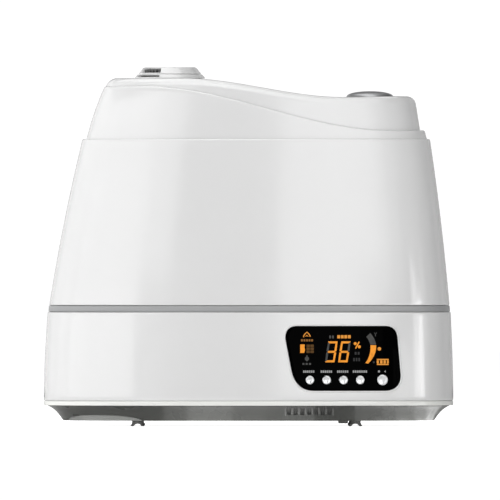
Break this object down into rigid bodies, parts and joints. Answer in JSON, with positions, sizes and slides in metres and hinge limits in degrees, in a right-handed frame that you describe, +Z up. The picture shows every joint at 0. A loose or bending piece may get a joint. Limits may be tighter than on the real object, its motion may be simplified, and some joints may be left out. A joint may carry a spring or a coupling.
{
  "type": "cool mist humidifier",
  "caption": "Oblong cool mist humidifier: a base with a display window and push buttons, a tapering lift-off water tank, and a sloping cover with a two-tier turning nozzle.",
  "frame": {"origin": "centre of the footprint, on the surface it stands on", "axes": "+X to the right seen from the front, along the length; +Y to the back; +Z up"},
  "size_m": [0.37, 0.204, 0.324],
  "materials": {
    "white_shell": "glossy white",
    "cream_trim": "glossy, slightly warm white",
    "grey_pan": "satin dark grey",
    "grey_seam": "satin mid grey",
    "rubber": "matt grey",
    "black_lens": "polished black acrylic",
    "chrome": "polished",
    "smoked_dome": "polished, smoked",
    "black_plastic": "matt",
    "pale_plastic": "satin pale grey",
    "circuit_board": "solder mask green",
    "steel": "bright zinc",
    "blue_float": "foamed plastic",
    "felt": "pressed felt"
  },
  "bodies": {
    "base": {"base_housing": "white_shell", "base_trim": "cream_trim", "base_pan": "grey_pan", "seam_ring": "grey_seam", "foot_front_left": "rubber", "foot_front_right": "rubber", "foot_rear_right": "rubber", "foot_rear_left": "rubber", "base_screw_1": "steel", "base_screw_2": "steel", "base_screw_3": "steel", "base_screw_4": "steel", "basin_deck": "pale_plastic", "transducer_disc": "steel", "transducer_seal": "rubber", "transducer_housing": "steel", "float_clip": "pale_plastic", "valve_post": "pale_plastic", "fan_frame": "black_plastic", "air_duct": "pale_plastic", "driver_board": "circuit_board", "heat_sink": "steel", "power_board": "circuit_board", "transformer": "black_plastic", "capacitor": "black_plastic", "panel_lens": "black_lens", "panel_frame": "black_plastic", "display_board": "circuit_board", "display_module": "black_plastic", "power_inlet": "black_plastic", "inlet_pin_left": "steel", "inlet_pin_right": "steel"},
    "fan_rotor": {"fan_rotor": "black_plastic"},
    "float": {"float": "blue_float"},
    "button_1": {"button_1": "chrome"},
    "button_2": {"button_2": "chrome"},
    "button_3": {"button_3": "chrome"},
    "button_4": {"button_4": "chrome"},
    "button_5": {"button_5": "chrome"},
    "tank": {"tank_body": "white_shell", "tank_shoulder": "white_shell", "tank_floor": "pale_plastic", "mist_duct": "pale_plastic", "top_cover": "white_shell", "nozzle_collar": "white_shell", "aroma_cup": "pale_plastic"},
    "nozzle_lower": {"nozzle_lower": "white_shell", "nozzle_lower_louvre": "black_plastic"},
    "nozzle_upper": {"nozzle_upper": "white_shell", "nozzle_upper_louvre": "black_plastic"},
    "aroma_basket": {"aroma_basket": "pale_plastic", "aroma_pad": "felt"},
    "aroma_cap": {"aroma_cap": "smoked_dome"},
    "tank_cap": {"tank_cap": "pale_plastic", "cap_seal": "rubber", "valve_cage": "pale_plastic", "valve_spring": "steel"},
    "valve_plunger": {"valve_plunger": "pale_plastic", "valve_seal": "rubber"}
  },
  "joints": [
    {"name": "tank_lift", "type": "slide", "parent": "base", "child": "tank", "axis": [0, 0, 1], "range_m": [0, 0.16]},
    {"name": "fan_spin", "type": "hinge", "parent": "base", "child": "fan_rotor", "pos_m": [-0.112, 0.045, 0.056], "axis": [0, 0, 1], "continuous": true},
    {"name": "float_rise", "type": "slide", "parent": "base", "child": "float", "axis": [0, 0, 1], "range_m": [0, 0.01]},
    {"name": "button_1_press", "type": "slide", "parent": "base", "child": "button_1", "axis": [0, 1, 0], "range_m": [0, 0.0008], "stiffness_N_per_m": 600, "springref_m": -0.001},
    {"name": "button_2_press", "type": "slide", "parent": "base", "child": "button_2", "axis": [0, 1, 0], "range_m": [0, 0.0008], "stiffness_N_per_m": 600, "springref_m": -0.001},
    {"name": "button_3_press", "type": "slide", "parent": "base", "child": "button_3", "axis": [0, 1, 0], "range_m": [0, 0.0008], "stiffness_N_per_m": 600, "springref_m": -0.001},
    {"name": "button_4_press", "type": "slide", "parent": "base", "child": "button_4", "axis": [0, 1, 0], "range_m": [0, 0.0008], "stiffness_N_per_m": 600, "springref_m": -0.001},
    {"name": "button_5_press", "type": "slide", "parent": "base", "child": "button_5", "axis": [0, 1, 0], "range_m": [0, 0.0008], "stiffness_N_per_m": 600, "springref_m": -0.001},
    {"name": "nozzle_lower_turn", "type": "hinge", "parent": "tank", "child": "nozzle_lower", "pos_m": [-0.0712, 0, 0.315], "axis": [0, 0, 1], "continuous": true},
    {"name": "nozzle_upper_turn", "type": "hinge", "parent": "nozzle_lower", "child": "nozzle_upper", "pos_m": [-0.0712, 0, 0.32], "axis": [0, 0, 1], "continuous": true},
    {"name": "basket_lift", "type": "slide", "parent": "tank", "child": "aroma_basket", "axis": [0, 0, 1], "range_m": [0, 0.035]},
    {"name": "aroma_cap_lift", "type": "slide", "parent": "aroma_basket", "child": "aroma_cap", "axis": [0, 0, 1], "range_m": [0, 0.02]},
    {"name": "tank_cap_turn", "type": "hinge", "parent": "tank", "child": "tank_cap", "pos_m": [0.06, 0, 0.1], "axis": [0, 0, 1], "range_deg": [0, 90]},
    {"name": "valve_press", "type": "slide", "parent": "tank_cap", "child": "valve_plunger", "axis": [0, 0, 1], "range_m": [0, 0.006], "stiffness_N_per_m": 200, "springref_m": -0.005, "deforming": ["valve_spring"]}
  ]
}
